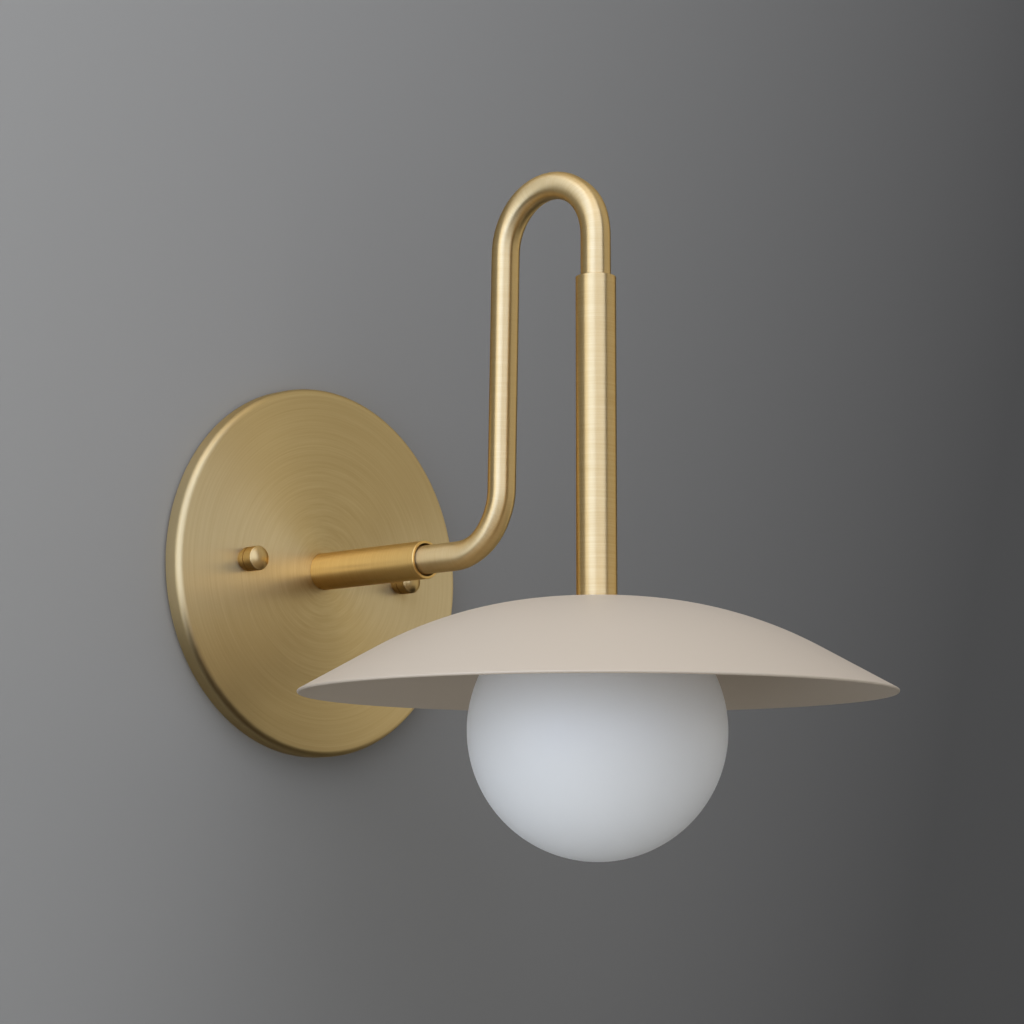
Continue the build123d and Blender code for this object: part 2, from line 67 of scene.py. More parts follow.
# Canopy and what fastens it
canopy_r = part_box("canopy")[1].x
canopy_depth = -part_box("canopy")[0].y
CANOPY_WALL = 1.0 * MM
CANOPY_EDGE_R = 2.3 * MM
CANOPY_RIM_R = 0.25 * MM
NUT_R = 4.1 * MM
NUT_DOME_H = 1.6 * MM
NUT_EDGE_R = 0.45 * MM
NUT_EDGE_START = 60  # degrees: where the rounded edge takes over from the dome
NUT_FOOT_T = 1.4 * MM
NUT_GROOVE_W = 0.4 * MM
NUT_GROOVE_DEPTH = 0.3 * MM
NUT_TOP = 2.2 * MM  # metal over the end of the tapped hole
STUD_R = 2.085 * MM
STUD_TAP_R = 2.135 * MM
STUD_HOLE_R = 2.385 * MM
STUD_PITCH = 0.794 * MM
STUD_NUT_FLATS = 8.7 * MM
nut_low, nut_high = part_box("cap_nuts")
nut_back = -nut_high.y
nut_front = -nut_low.y
left_nut = Vector((nut_low.x + NUT_R, 0, nut_high.z - NUT_R))
right_nut = Vector((nut_high.x - NUT_R, 0, nut_low.z + NUT_R))
stud_line = (right_nut - left_nut).normalized()
stud_square = Vector((-stud_line.z, 0, stud_line.x))

# Wall ring behind the canopy
PLATE_BORE_R = 22.5 * MM
PLATE_EDGE = 0.2 * MM
BOX_SCREW_R = 44.45 * MM
BOX_SCREW_HOLE_R = 2.4 * MM
EARTH_TAP_R = 2.45 * MM

# Threaded nipples, their locknuts and the wire bushing
NIPPLE_WALL = 1.5 * MM
NIPPLE_PITCH = 0.94 * MM
LOCKNUT_FLATS = 14.3 * MM
HEX_BEVEL = math.radians(30)
BUSHING_FLANGE_T = 0.8 * MM
BUSHING_WALL = 0.8 * MM

# Tubes
arm_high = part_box("bent_arm")[1]
arm_r = arm_high.x
ARM_WALL = 1.0 * MM
ARM_STRAIGHT = 14.5 * MM
ELBOW_R = 20.0 * MM
BEND_R = 20.0 * MM
LEG_LEAN = math.radians(1.2)
ARM_INSERT = 20.0 * MM
ARM_SIDES = 48
ARM_CUTS = 260
PATH_STEPS = 64
LEG_FLAT = 0.75 * MM  # how far bending has pressed in the wall side of the leg and the top bend
ELBOW_FLAT = 0.6 * MM  # the same for the outer side of the elbow
FLAT_FADE = 12.0 * MM
THREAD_GAP = 0.05 * MM
HOLE_GAP = 0.3 * MM  # round a nipple, where it passes through the canopy or the shade
MOUTH_GAP = 0.75 * MM
MOUTH_DEPTH = 8.0 * MM
TUBE_CHAMFER = 0.15 * MM
sleeve_low, sleeve_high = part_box("wall_sleeve")
sleeve_r = sleeve_high.x
stem_low, stem_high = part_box("stem_tube")
stem_r = stem_high.x
stem_axis = Vector((0, (stem_low.y + stem_high.y) / 2, 0))
reach = -stem_axis.y

# Path of the arm, as in its CAD solid: distance out from the wall and height
arm_start = -arm_high.y
elbow_start = -sleeve_low.y + ARM_STRAIGHT
bend_z = arm_high.z - arm_r - BEND_R
leg_l = (bend_z + (BEND_R + ELBOW_R) * math.sin(LEG_LEAN) - ELBOW_R) / math.cos(LEG_LEAN)
elbow_turn = math.pi / 2 - LEG_LEAN
bend_turn = math.pi + LEG_LEAN
arm_end = stem_high.z - ARM_INSERT
drop_l = bend_z - arm_end
arm_length = elbow_start - arm_start + ELBOW_R * elbow_turn + leg_l + BEND_R * bend_turn + drop_l

# Shade and globe
shade_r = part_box("shade")[1].x
crown_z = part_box("shade")[1].z
SHADE_WALL = 1.0 * MM
SHADE_SKIRT_ANGLE = math.radians(29)
SHADE_SKIRT_W = 23.0 * MM
SHADE_CROWN_LAND = 0.65 * MM
globe_low, globe_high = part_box("opal_globe")
globe_r = globe_high.x
globe_z = globe_low.z + globe_r
globe_rim_z = globe_high.z
GLOBE_WALL = 2.2 * MM
GLOBE_COLLAR_DEPTH = 10.0 * MM

slot_of = {part["node"]: part["material_slot"] for part in frame["record"]["subparts"]}
bodies = frame["record"]["behaviour"]["bodies"]
body_of = {node: body for body, nodes in bodies.items() for node in nodes}


# Modelling

def arc(centre, radius, start, end, steps=ARC_STEPS):
    """Points of an arc in an outline, between two angles in degrees."""
    turns = [math.radians(start + (end - start) * i / steps) for i in range(steps + 1)]
    return [(centre[0] + radius * math.cos(t), centre[1] + radius * math.sin(t)) for t in turns]


def pick(piece):
    """Selects one piece alone and makes it active."""
    bpy.ops.object.select_all(action="DESELECT")
    piece.select_set(True)
    bpy.context.view_layer.objects.active = piece


def finish_mesh(name):
    """Welds the mesh in edit mode, turns its faces outwards and shades it."""
    bpy.ops.mesh.select_all(action="SELECT")
    bpy.ops.mesh.remove_doubles(threshold=WELD)
    bpy.ops.mesh.normals_make_consistent(inside=False)
    bpy.ops.object.mode_set(mode="OBJECT")
    bpy.ops.object.shade_smooth_by_angle(angle=SMOOTH_ANGLE)
    piece = bpy.context.object
    piece.name = name
    piece.data.name = name
    return piece


def turned(name, outline, foot, along, steps=TURN_STEPS):
    """A turned piece: an outline of (radius, height) points, spun round the line from foot along."""
    points = [foot + ACROSS * radius + along * height for radius, height in outline]
    bpy.ops.object.select_all(action="DESELECT")
    bpy.ops.mesh.primitive_plane_add(size=MM)
    bpy.ops.object.mode_set(mode="EDIT")
    bpy.ops.mesh.merge(type="CENTER")
    bpy.ops.transform.translate(value=points[0])
    for here, there in zip(points, points[1:]):
        bpy.ops.mesh.extrude_vertices_move(TRANSFORM_OT_translate={"value": there - here})
    bpy.ops.mesh.select_all(action="SELECT")
    bpy.ops.mesh.spin(steps=steps, angle=2 * math.pi, center=foot, axis=along)
    return finish_mesh(name)


def apply_modifier(piece, kind, **settings):
    """Adds a modifier to a piece and applies it."""
    modifier = piece.modifiers.new(kind.lower(), kind)
    for key, value in settings.items():
        setattr(modifier, key, value)
    bpy.context.view_layer.objects.active = piece
    bpy.ops.object.modifier_apply(modifier=modifier.name)


def cut(piece, tool, how="DIFFERENCE"):
    """Cuts a piece with a tool, or keeps what the two share, and takes the tool away."""
    apply_modifier(piece, "BOOLEAN", object=tool, operation=how, solver="EXACT")
    bpy.data.objects.remove(tool)
    pick(piece)
    bpy.ops.object.shade_smooth_by_angle(angle=SMOOTH_ANGLE)


def drill(piece, place, radius, along, start, end):
    """Drills a round hole through a piece."""
    rod = [(0, start - MM), (radius, start - MM), (radius, end + MM), (0, end + MM)]
    cut(piece, turned("drill", rod, place, along, SMALL_STEPS))


def thread(radius, pitch, start, end):
    """Outline of a screw thread, a row of sharp ridges from start to end."""
    count = round((end - start) / pitch)
    step = (end - start) / count
    root = radius - pitch / 2
    ridges = [(start + step * i, start + step * (i + 0.5)) for i in range(count)]
    points = [point for low, high in ridges for point in ((root, low), (radius, high))]
    return points + [(root, end)]


def hex_nut(name, foot, along, flats, bore, start, end):
    """A hexagon nut with its corners turned off at both ends, bored for its screw."""
    corner = flats / math.sqrt(3)
    slant = math.tan(HEX_BEVEL)
    fall = (corner - flats / 2) * slant
    nut = turned(name, [(0, start), (corner, start), (corner, end), (0, end)], foot, along, HEX_STEPS)
    slope = [(flats - corner, start - fall), (corner + MM, start + fall + MM * slant)]
    mirror = [(radius, start + end - height) for radius, height in reversed(slope)]
    round_off = [(0, start - fall), *slope, *mirror, (0, end + fall)]
    cut(nut, turned("round_off", round_off, foot, along, SMALL_STEPS), "INTERSECT")
    drill(nut, foot, bore, along, start, end)
    return nut


def dress(piece, node, finish):
    """The piece stands for a CAD node, moves with its body and wears a finish."""
    piece.data.materials.clear()
    piece.data.materials.append(finish)
    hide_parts(node)
    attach(piece, body_of[node])


def copy_to(piece, name, step):
    """A copy of a piece with its own mesh, moved by a step."""
    pick(piece)
    bpy.ops.object.duplicate()
    twin = bpy.context.object
    twin.name = name
    twin.data.name = name
    bpy.ops.object.mode_set(mode="EDIT")
    bpy.ops.mesh.select_all(action="SELECT")
    bpy.ops.transform.translate(value=step)
    bpy.ops.object.mode_set(mode="OBJECT")
    return twin


# Shader nodes

# Places of the colour sockets in a Mix node, whose names are shared with its other sockets
MIX_FIRST = 6
MIX_SECOND = 7
MIX_COLOUR = 2


def linear(code):
    """An sRGB hex colour as linear RGBA."""
    parts = [int(code[i:i + 2], 16) / 255 for i in (1, 3, 5)]
    return [p / 12.92 if p <= 0.04045 else ((p + 0.055) / 1.055) ** 2.4 for p in parts] + [1.0]


def add(tree, kind, inputs=None, **settings):
    """One shader node with its settings. An input is a value or the socket it is linked from."""
    made = tree.nodes.new("ShaderNode" + kind)
    for key, value in settings.items():
        setattr(made, key, value)
    for key, value in (inputs or {}).items():
        if isinstance(value, bpy.types.NodeSocket):
            tree.links.new(value, made.inputs[key])
        else:
            made.inputs[key].default_value = value
    return made


def new_material(name, **sockets):
    """A material with its shader's plain sockets set."""
    made = bpy.data.materials.new(name)
    made.use_nodes = True
    shader = made.node_tree.nodes["Principled BSDF"]
    for key, value in sockets.items():
        shader.inputs[key.replace("_", " ").title()].default_value = value
    return made, made.node_tree, shader


# Brass

# One brass, a tone pair per piece: the face, arm and sleeve pairs are painted light, the same brass made
# darker or brighter for the light that each piece takes.
BRASS_TONES = ("#DAB97A", "#E4C88D")
FACE_TONES = ("#C7AD77", "#D1BA86")
ARM_TONES = ("#DCBC7E", "#E6CB92")
# The sleeve's richer, warmer tone is also a painted reflection of the brass canopy.
SLEEVE_TONES = ("#E2B96A", "#ECC77C")
# The nuts' tones are darker than the other brass.
DARK_NUT_TONES = ("#BC9D63", "#C7AA71")
EDGE_TINT = "#D8B878"  # brass stays warm where it is seen at a flat angle
LACQUER = 0.35
LACQUER_ROUGH = 0.3
LINE_BUMP = 0.12
LINE_DEPTH = 0.01 * MM
LINE_GLOSS = 0.03  # how far a brush line changes the roughness
MARKS_LOW = 0.2
MARKS_MIDDLE = 0.5
MARKS_HIGH = 0.8
GRAIN_TURN = 0.25  # a quarter turn, so that highlights spread across the lines
RINGS_STRONG = 1.0
RINGS_STRONG_R = 12 * MM
RINGS_FAINT = 0.2
RINGS_FAINT_R = 45 * MM
RING_DRIFT = (1.5, 1.5, 1.5)  # how fast a line changes along a ring of the canopy
TUBE_DRIFT = 60.0  # the same round a straight tube
ARM_DRIFT = 2.0  # the same round the arm
ARM_UV_SHARE = 0.5  # the part of the UV map's height that the arm's side takes up


def brush_marks(tree, fine, bands, weight):
    """Fine lines and wider bands as one value from 0 to 1."""
    swing = add(tree, "Math", {0: bands, 1: MARKS_MIDDLE}, operation="SUBTRACT").outputs[0]
    amount = weight(tree) if callable(weight) else weight
    mixed = add(tree, "Math", {0: swing, 1: amount, 2: fine}, operation="MULTIPLY_ADD").outputs[0]
    ends = {"From Min": MARKS_LOW, "From Max": MARKS_HIGH}
    return add(tree, "MapRange", {"Value": mixed, **ends}).outputs[0]


def brushed_brass(
    name, lines, grain=None, tones=BRASS_TONES, rough=0.42, spread=0.92,
    line_mm=0.35, band_mm=3.0, weight=0.3,
):
    """Satin brass: lacquered and brushed in one direction, so that fine lines spread its highlights.

    lines(tree, spacing) gives texture coordinates that change once per spacing across the lines.
    The weight of the wider bands is a number, or a function that gives a socket.
    The grain is the way the lines run, as the settings of a tangent node.
    """
    made, tree, shader = new_material(
        name, metallic=1.0, coat_weight=LACQUER, coat_roughness=LACQUER_ROUGH, specular_tint=linear(EDGE_TINT)
    )
    fine_place = lines(tree, line_mm * MM)
    fine = add(tree, "TexNoise", {"Vector": fine_place, "Scale": 1.0, "Detail": 3.0}).outputs["Fac"]
    band_place = lines(tree, band_mm * MM)
    bands = add(tree, "TexNoise", {"Vector": band_place, "Scale": 1.0, "Detail": 2.0}).outputs["Fac"]
    marks = brush_marks(tree, fine, bands, weight)
    deep, pale = (linear(tone) for tone in tones)
    tint = add(tree, "Mix", {"Factor": marks, MIX_FIRST: deep, MIX_SECOND: pale}, data_type="RGBA")
    ends = {"To Min": rough + LINE_GLOSS, "To Max": rough - LINE_GLOSS}
    gloss = add(tree, "MapRange", {"Value": marks, **ends})
    bump = add(tree, "Bump", {"Height": fine, "Strength": LINE_BUMP, "Distance": LINE_DEPTH})
    tree.links.new(tint.outputs[MIX_COLOUR], shader.inputs["Base Color"])
    tree.links.new(gloss.outputs[0], shader.inputs["Roughness"])
    tree.links.new(bump.outputs[0], shader.inputs["Normal"])
    if grain:
        tangent = add(tree, "Tangent", **grain)
        tree.links.new(tangent.outputs[0], shader.inputs["Tangent"])
        shader.inputs["Anisotropic"].default_value = spread
        shader.inputs["Anisotropic Rotation"].default_value = GRAIN_TURN
    return made


def off_axis(tree):
    """Place across the canopy's axis, and the distance from it."""
    place = add(tree, "TexCoord").outputs["Object"]
    flat = add(tree, "VectorMath", {0: place, 1: (1, 0, 1)}, operation="MULTIPLY").outputs[0]
    return flat, add(tree, "VectorMath", {0: flat}, operation="LENGTH").outputs["Value"]


def ring_weight(tree):
    """Turning marks show round the middle of the canopy and fade towards its rim."""
    radius = off_axis(tree)[1]
    reach = {"From Min": RINGS_STRONG_R, "From Max": RINGS_FAINT_R}
    weights = {"To Min": RINGS_STRONG, "To Max": RINGS_FAINT}
    return add(tree, "MapRange", {"Value": radius, **reach, **weights}).outputs[0]


def ring_lines(tree, spacing):
    """Lines in rings round the canopy's axis: they change with the radius, and slowly along each ring."""
    flat, radius = off_axis(tree)
    way = add(tree, "VectorMath", {0: flat}, operation="NORMALIZE").outputs[0]
    drift = add(tree, "VectorMath", {0: way, 1: RING_DRIFT}, operation="MULTIPLY").outputs[0]
    slow = add(tree, "SeparateXYZ", {0: drift}).outputs
    quick = add(tree, "Math", {0: radius, 1: spacing}, operation="DIVIDE").outputs[0]
    return add(tree, "CombineXYZ", {0: quick, 1: slow[0], 2: slow[2]}).outputs[0]


def tube_lines(axis):
    """Lines round a straight tube: they change along it, and slowly round it."""
    def lines(tree, spacing):
        place = add(tree, "TexCoord").outputs["Object"]
        scale = [TUBE_DRIFT, TUBE_DRIFT, TUBE_DRIFT]
        scale[axis] = 1 / spacing
        return add(tree, "VectorMath", {0: place, 1: scale}, operation="MULTIPLY").outputs[0]
    return lines


def arm_lines(tree, spacing):
    """Lines round the bent arm, which follow the length kept in its UV map."""
    place = add(tree, "UVMap").outputs[0]
    scale = (ARM_DRIFT, arm_length / ARM_UV_SHARE / spacing, 1.0)
    return add(tree, "VectorMath", {0: place, 1: scale}, operation="MULTIPLY").outputs[0]


round_y = {"direction_type": "RADIAL", "axis": "Y"}
round_z = {"direction_type": "RADIAL", "axis": "Z"}
brass_face = brushed_brass(
    "spun satin brass", ring_lines, round_y, FACE_TONES,
    rough=0.40, spread=0.85, line_mm=0.5, band_mm=1.5, weight=ring_weight,
)
brass_sleeve = brushed_brass(
    "satin brass sleeve", tube_lines(1), round_y, SLEEVE_TONES, rough=0.36, spread=0.88
)
brass_stem = brushed_brass("satin brass stem", tube_lines(2), round_z)
brass_arm = brushed_brass("satin brass arm", arm_lines, {"direction_type": "UV_MAP"}, ARM_TONES)
brass_nut = brushed_brass("satin brass nut", ring_lines, tones=DARK_NUT_TONES, rough=0.34, line_mm=0.3)


# Paint, glass and the finishes of the inner pieces

PEEL_MM = 0.7
PEEL_BUMP = 0.10
PEEL_DEPTH = 0.05 * MM
ETCH_MM = 0.4
ETCH_SMOOTH = 0.50
ETCH_COARSE = 0.60
ETCH_BUMP = 0.04
ETCH_DEPTH = 0.02 * MM
GLASS_SCATTER = 4 * MM
GRAIN_GLOSS = 0.06  # how far the grain of a plain finish changes the roughness


def powder_coat(name, colour):
    """Matte powder coat: baked polyester paint with a faint orange peel."""
    made, tree, shader = new_material(name, roughness=0.50, base_color=linear(colour))
    shader.inputs["Specular IOR Level"].default_value = 0.3
    place = add(tree, "TexCoord").outputs["Object"]
    peel = add(tree, "TexNoise", {"Vector": place, "Scale": 1 / (PEEL_MM * MM), "Detail": 2.0})
    bump = add(tree, "Bump", {"Height": peel.outputs["Fac"], "Strength": PEEL_BUMP, "Distance": PEEL_DEPTH})
    tree.links.new(bump.outputs[0], shader.inputs["Normal"])
    return made


def opal_glass(name, colour):
    """Opal glass, blown and acid etched: milk white all through, with a soft satin skin."""
    made, tree, shader = new_material(
        name, base_color=linear(colour), subsurface_weight=0.25,
        subsurface_radius=(1.0, 1.0, 1.0), subsurface_scale=GLASS_SCATTER,
    )
    place = add(tree, "TexCoord").outputs["Object"]
    etching = add(tree, "TexNoise", {"Vector": place, "Scale": 1 / (ETCH_MM * MM), "Detail": 2.0})
    etched = etching.outputs["Fac"]
    gloss = add(tree, "MapRange", {"Value": etched, "To Min": ETCH_SMOOTH, "To Max": ETCH_COARSE})
    bump = add(tree, "Bump", {"Height": etched, "Strength": ETCH_BUMP, "Distance": ETCH_DEPTH})
    tree.links.new(gloss.outputs[0], shader.inputs["Roughness"])
    tree.links.new(bump.outputs[0], shader.inputs["Normal"])
    return made


def plain_finish(name, colour, rough, metallic=0.0, grain_mm=0.6, **sockets):
    """A plain finish: one colour, with a grain that makes its gloss a little uneven."""
    made, tree, shader = new_material(name, metallic=metallic, base_color=linear(colour), **sockets)
    place = add(tree, "TexCoord").outputs["Object"]
    grain = add(tree, "TexNoise", {"Vector": place, "Scale": 1 / (grain_mm * MM), "Detail": 3.0})
    ends = {"To Min": rough - GRAIN_GLOSS, "To Max": rough + GRAIN_GLOSS}
    gloss = add(tree, "MapRange", {"Value": grain.outputs["Fac"], **ends})
    tree.links.new(gloss.outputs[0], shader.inputs["Roughness"])
    return made


shade_coat = powder_coat("bone powder coat", "#C5B6A4")
globe_glass = opal_glass("etched opal glass", "#F6F6F6")
# Bright zinc plate on steel: cool grey, with a faint uneven shine
zinc = plain_finish("zinc plated steel", "#AAAEB1", 0.36, 1.0)
# Brass left as it came off the lathe: yellower than the satin pieces
turned_brass = plain_finish("turned brass", "#D8B56A", 0.28, 1.0)
# Green dyed zinc, which marks the earth screw
green_zinc = plain_finish("green dyed zinc", "#3E8A4E", 0.38, 0.6)
# Moulded nylon: black, with a dull shine
nylon = plain_finish("black nylon", "#1C1C1D", 0.42)
# Moulded silicone: milky and soft
silicone = plain_finish("clear silicone", "#D9DAD6", 0.5, subsurface_weight=0.3)
# Glazed steatite: creamy white with a clean shine
steatite = plain_finish("glazed steatite", "#EDE7DA", 0.22, grain_mm=3.0)
# Spring bronze: brownish, rolled smooth
bronze = plain_finish("spring bronze", "#C58F5C", 0.30, 1.0)
# Moulded polycarbonate: plain white lamp base
white_plastic = plain_finish("white polycarbonate", "#EDEDEA", 0.38)
# Frosted polycarbonate: lets light through and blurs it
frost = plain_finish("frosted polycarbonate", "#F2F2F0", 0.48, transmission_weight=0.6)
# White solder mask on a lamp's circuit board
solder_mask = plain_finish("white solder mask", "#E9E9E4", 0.30, grain_mm=2.0)
inner_finishes = {
    "plain_brass": turned_brass,
    "zinc_steel": zinc,
    "earth_screw": green_zinc,
    "gasket_silicone": silicone,
    "bushing_nylon": nylon,
    "socket_ceramic": steatite,
    "contact_bronze": bronze,
    "lamp_plastic": white_plastic,
    "lamp_frost": frost,
    "led_board": solder_mask,
}


# Inner pieces, which keep their CAD shapes

def finish_inner_pieces():
    """The pieces kept as they are in the CAD model take their finishes."""
    for node, piece in frame["nodes"].items():
        finish = inner_finishes.get(slot_of[node])
        if finish:
            piece.data.materials.clear()
            piece.data.materials.append(finish)


# Canopy, spun from sheet with a rounded edge and pierced for the studs

def make_canopy():
    hole = arm_r + HOLE_GAP
    corner = (canopy_r - CANOPY_EDGE_R, canopy_depth - CANOPY_EDGE_R)
    inner_r = CANOPY_EDGE_R - CANOPY_WALL
    rim_out = (canopy_r - CANOPY_RIM_R, CANOPY_RIM_R)
    outline = [(hole, canopy_depth), (corner[0] - CANOPY_RIM_R, canopy_depth)]
    outline += arc(corner, CANOPY_EDGE_R, 90, 0)
    outline += [(canopy_r, 2 * CANOPY_RIM_R)]
    outline += arc(rim_out, CANOPY_RIM_R, 0, -90, steps=4)
    outline += [(canopy_r - CANOPY_WALL, 0)]
    outline += arc(corner, inner_r, 0, 90)
    outline += [(hole, canopy_depth - CANOPY_WALL), outline[0]]
    canopy = turned("spun_canopy", outline, ORIGIN, OUT)
    for place in (left_nut, right_nut):
        drill(canopy, place, STUD_HOLE_R, OUT, canopy_depth - CANOPY_WALL, canopy_depth)
    dress(canopy, "canopy", brass_face)


# Cap nuts with a foot ring and a low dome, their washers, and the studs they screw on

def washer_outline():
    back = -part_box("cap_nut_washers")[1].y
    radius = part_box("cap_nut_washers")[1].x - right_nut.x
    outline = [(STUD_HOLE_R, back), (radius, back), (radius, nut_back), (STUD_HOLE_R, nut_back)]
    return outline + outline[:1]


def cap_nut_outline():
    dome_r = (NUT_R ** 2 + NUT_DOME_H ** 2) / (2 * NUT_DOME_H)
    stop = math.acos((NUT_R - NUT_EDGE_R) / dome_r)
    edge = (NUT_R - NUT_EDGE_R, nut_front - dome_r * (1 - math.sin(stop)) - NUT_EDGE_R)
    foot_end = nut_back + NUT_FOOT_T
    groove_end = foot_end + NUT_GROOVE_W
    groove_r = NUT_R - NUT_GROOVE_DEPTH
    tap_end = nut_front - NUT_TOP
    outline = arc((0, nut_front - dome_r), dome_r, 90, math.degrees(stop), steps=14)
    outline += arc(edge, NUT_EDGE_R, NUT_EDGE_START, 0, steps=5)
    outline += [(NUT_R, groove_end), (groove_r, groove_end), (groove_r, foot_end), (NUT_R, foot_end)]
    outline += [(NUT_R, nut_back), (STUD_TAP_R, nut_back), (STUD_TAP_R, tap_end), (0, tap_end)]
    return outline


def stud_outline():
    end = -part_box("canopy_studs")[0].y
    return [(0, 0), *thread(STUD_R, STUD_PITCH, 0, end), (0, end)]


def make_nuts():
    rows = (
        ("nut_washer", washer_outline(), "cap_nut_washers", brass_nut),
        ("cap_nut", cap_nut_outline(), "cap_nuts", brass_nut),
        ("canopy_stud", stud_outline(), "canopy_studs", zinc),
    )
    for name, outline, node, finish in rows:
        left = turned(name + "_left", outline, left_nut, OUT, SMALL_STEPS)
        right = copy_to(left, name + "_right", right_nut - left_nut)
        dress(left, node, finish)
        dress(right, node, finish)


# Wall ring, and the nuts that lock the studs to it

def make_wall_ring():
    low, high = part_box("mounting_plate")
    thick = -low.y
    edge = PLATE_EDGE
    outline = [
        (PLATE_BORE_R, edge),
        (PLATE_BORE_R + edge, 0),
        (high.x - edge, 0),
        (high.x, edge),
        (high.x, thick - edge),
        (high.x - edge, thick),
        (PLATE_BORE_R + edge, thick),
        (PLATE_BORE_R, thick - edge),
        (PLATE_BORE_R, edge),
    ]
    ring = turned("wall_ring", outline, ORIGIN, OUT)
    screw_low, screw_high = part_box("ground_screw")
    earth = (screw_low + screw_high) / 2
    earth.y = 0
    for place in (stud_square * BOX_SCREW_R, stud_square * -BOX_SCREW_R):
        drill(ring, place, BOX_SCREW_HOLE_R, OUT, 0, thick)
    for place, radius in ((left_nut, STUD_TAP_R), (right_nut, STUD_TAP_R), (earth, EARTH_TAP_R)):
        drill(ring, place, radius, OUT, 0, thick)
    dress(ring, "mounting_plate", zinc)


def make_stud_nuts():
    low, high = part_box("stud_nuts")
    left = hex_nut("stud_nut_left", left_nut, OUT, STUD_NUT_FLATS, STUD_TAP_R, -high.y, -low.y)
    right = copy_to(left, "stud_nut_right", right_nut - left_nut)
    dress(left, "stud_nuts", zinc)
    dress(right, "stud_nuts", zinc)


# Threaded nipples with their locknuts, and the bushing that guards the wires

def make_nipple(name, node, foot, along, start, end):
    bore = arm_r - NIPPLE_WALL
    outline = [(bore, start), *thread(arm_r, NIPPLE_PITCH, start, end), (bore, end), (bore, start)]
    dress(turned(name, outline, foot, along, SMALL_STEPS), node, turned_brass)


def make_locknut(name, node, foot, along, start, end):
    nut = hex_nut(name, foot, along, LOCKNUT_FLATS, arm_r + THREAD_GAP, start, end)
    dress(nut, node, zinc)


def make_nipples():
    low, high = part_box("canopy_nipple")
    make_nipple("threaded_canopy_nipple", "canopy_nipple", ORIGIN, OUT, -high.y, -low.y)
    low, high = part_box("stem_nipple")
    make_nipple("threaded_stem_nipple", "stem_nipple", stem_axis, UP, low.z, high.z)
    low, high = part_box("canopy_locknut")
    make_locknut("hex_locknut", "canopy_locknut", ORIGIN, OUT, -high.y, -low.y)
    low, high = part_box("holder_locknut")
    make_locknut("hex_holder_nut", "holder_locknut", stem_axis, UP, low.z, high.z)


def make_bushing():
    low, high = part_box("wire_bushing")
    back = -high.y
    snout = arm_r - NIPPLE_WALL - THREAD_GAP
    bore = snout - BUSHING_WALL
    half = BUSHING_FLANGE_T / 2
    seat = back + BUSHING_FLANGE_T
    outline = [(bore + half, back)]
    outline += arc((high.x - half, back + half), half, -90, 90, steps=8)
    outline += [(snout, seat), (snout, -low.y), (bore, -low.y)]
    outline += arc((bore + half, back + half), half, 180, 270, steps=6)
    dress(turned("lipped_bushing", outline, ORIGIN, OUT, SMALL_STEPS), "wire_bushing", nylon)


# Sleeve and stem, turned from tube with a wider mouth for the arm

def tube_outline(radius, start, end):
    bore = arm_r + THREAD_GAP
    mouth = arm_r + MOUTH_GAP
    return [
        (bore, start),
        (radius - TUBE_CHAMFER, start),
        (radius, start + TUBE_CHAMFER),
        (radius, end - TUBE_CHAMFER),
        (radius - TUBE_CHAMFER, end),
        (mouth, end),
        (mouth, end - MOUTH_DEPTH),
        (bore, end - MOUTH_DEPTH),
        (bore, start),
    ]


def make_tubes():
    sleeve = turned("turned_sleeve", tube_outline(sleeve_r, -sleeve_high.y, -sleeve_low.y), ORIGIN, OUT)
    dress(sleeve, "wall_sleeve", brass_sleeve)
    stem = turned("turned_stem", tube_outline(stem_r, stem_low.z, stem_high.z), stem_axis, UP)
    dress(stem, "stem_tube", brass_stem)


# Arm, a straight tube bent along its path

def arm_path():
    """The arm's centreline as a Bezier curve with a handle pair for each arc."""
    foot = (elbow_start + ELBOW_R * math.cos(LEG_LEAN), ELBOW_R * (1 - math.sin(LEG_LEAN)))
    head = (foot[0] + leg_l * math.sin(LEG_LEAN), foot[1] + leg_l * math.cos(LEG_LEAN))
    elbow_pull = 4 / 3 * math.tan(elbow_turn / 4) * ELBOW_R
    bend_pull = 4 / 3 * math.tan(bend_turn / 8) * BEND_R
    middle = bend_turn / 2 - LEG_LEAN
    crest = (reach - BEND_R + BEND_R * math.cos(middle), bend_z + BEND_R * math.sin(middle))
    rising = (math.sin(LEG_LEAN), math.cos(LEG_LEAN))
    over = (math.sin(middle), -math.cos(middle))
    stops = [
        ((arm_start, 0), (1, 0), 0, 0),
        ((elbow_start, 0), (1, 0), 0, elbow_pull),
        (foot, rising, elbow_pull, 0),
        (head, rising, 0, bend_pull),
        (crest, over, bend_pull, bend_pull),
        ((reach, bend_z), (0, -1), bend_pull, 0),
        ((reach, arm_end), (0, -1), 0, 0),
    ]
    bpy.ops.curve.primitive_bezier_curve_add()
    path = bpy.context.object
    path.data.resolution_u = PATH_STEPS
    spline = path.data.splines[0]
    spline.bezier_points.add(len(stops) - len(spline.bezier_points))
    for point, (place, way, back, ahead) in zip(spline.bezier_points, stops):
        point.handle_left_type = "FREE"
        point.handle_right_type = "FREE"
        here = Vector((0, -place[0], place[1]))
        heading = Vector((0, -way[0], way[1]))
        point.co = here
        point.handle_left = here - heading * back
        point.handle_right = here + heading * ahead
    return path


def select_none(kind):
    """Clears the selection in the mesh of the active piece, for picking parts of one kind."""
    bpy.ops.object.mode_set(mode="EDIT")
    bpy.ops.mesh.select_mode(type=kind)
    bpy.ops.mesh.select_all(action="DESELECT")
    bpy.ops.object.mode_set(mode="OBJECT")


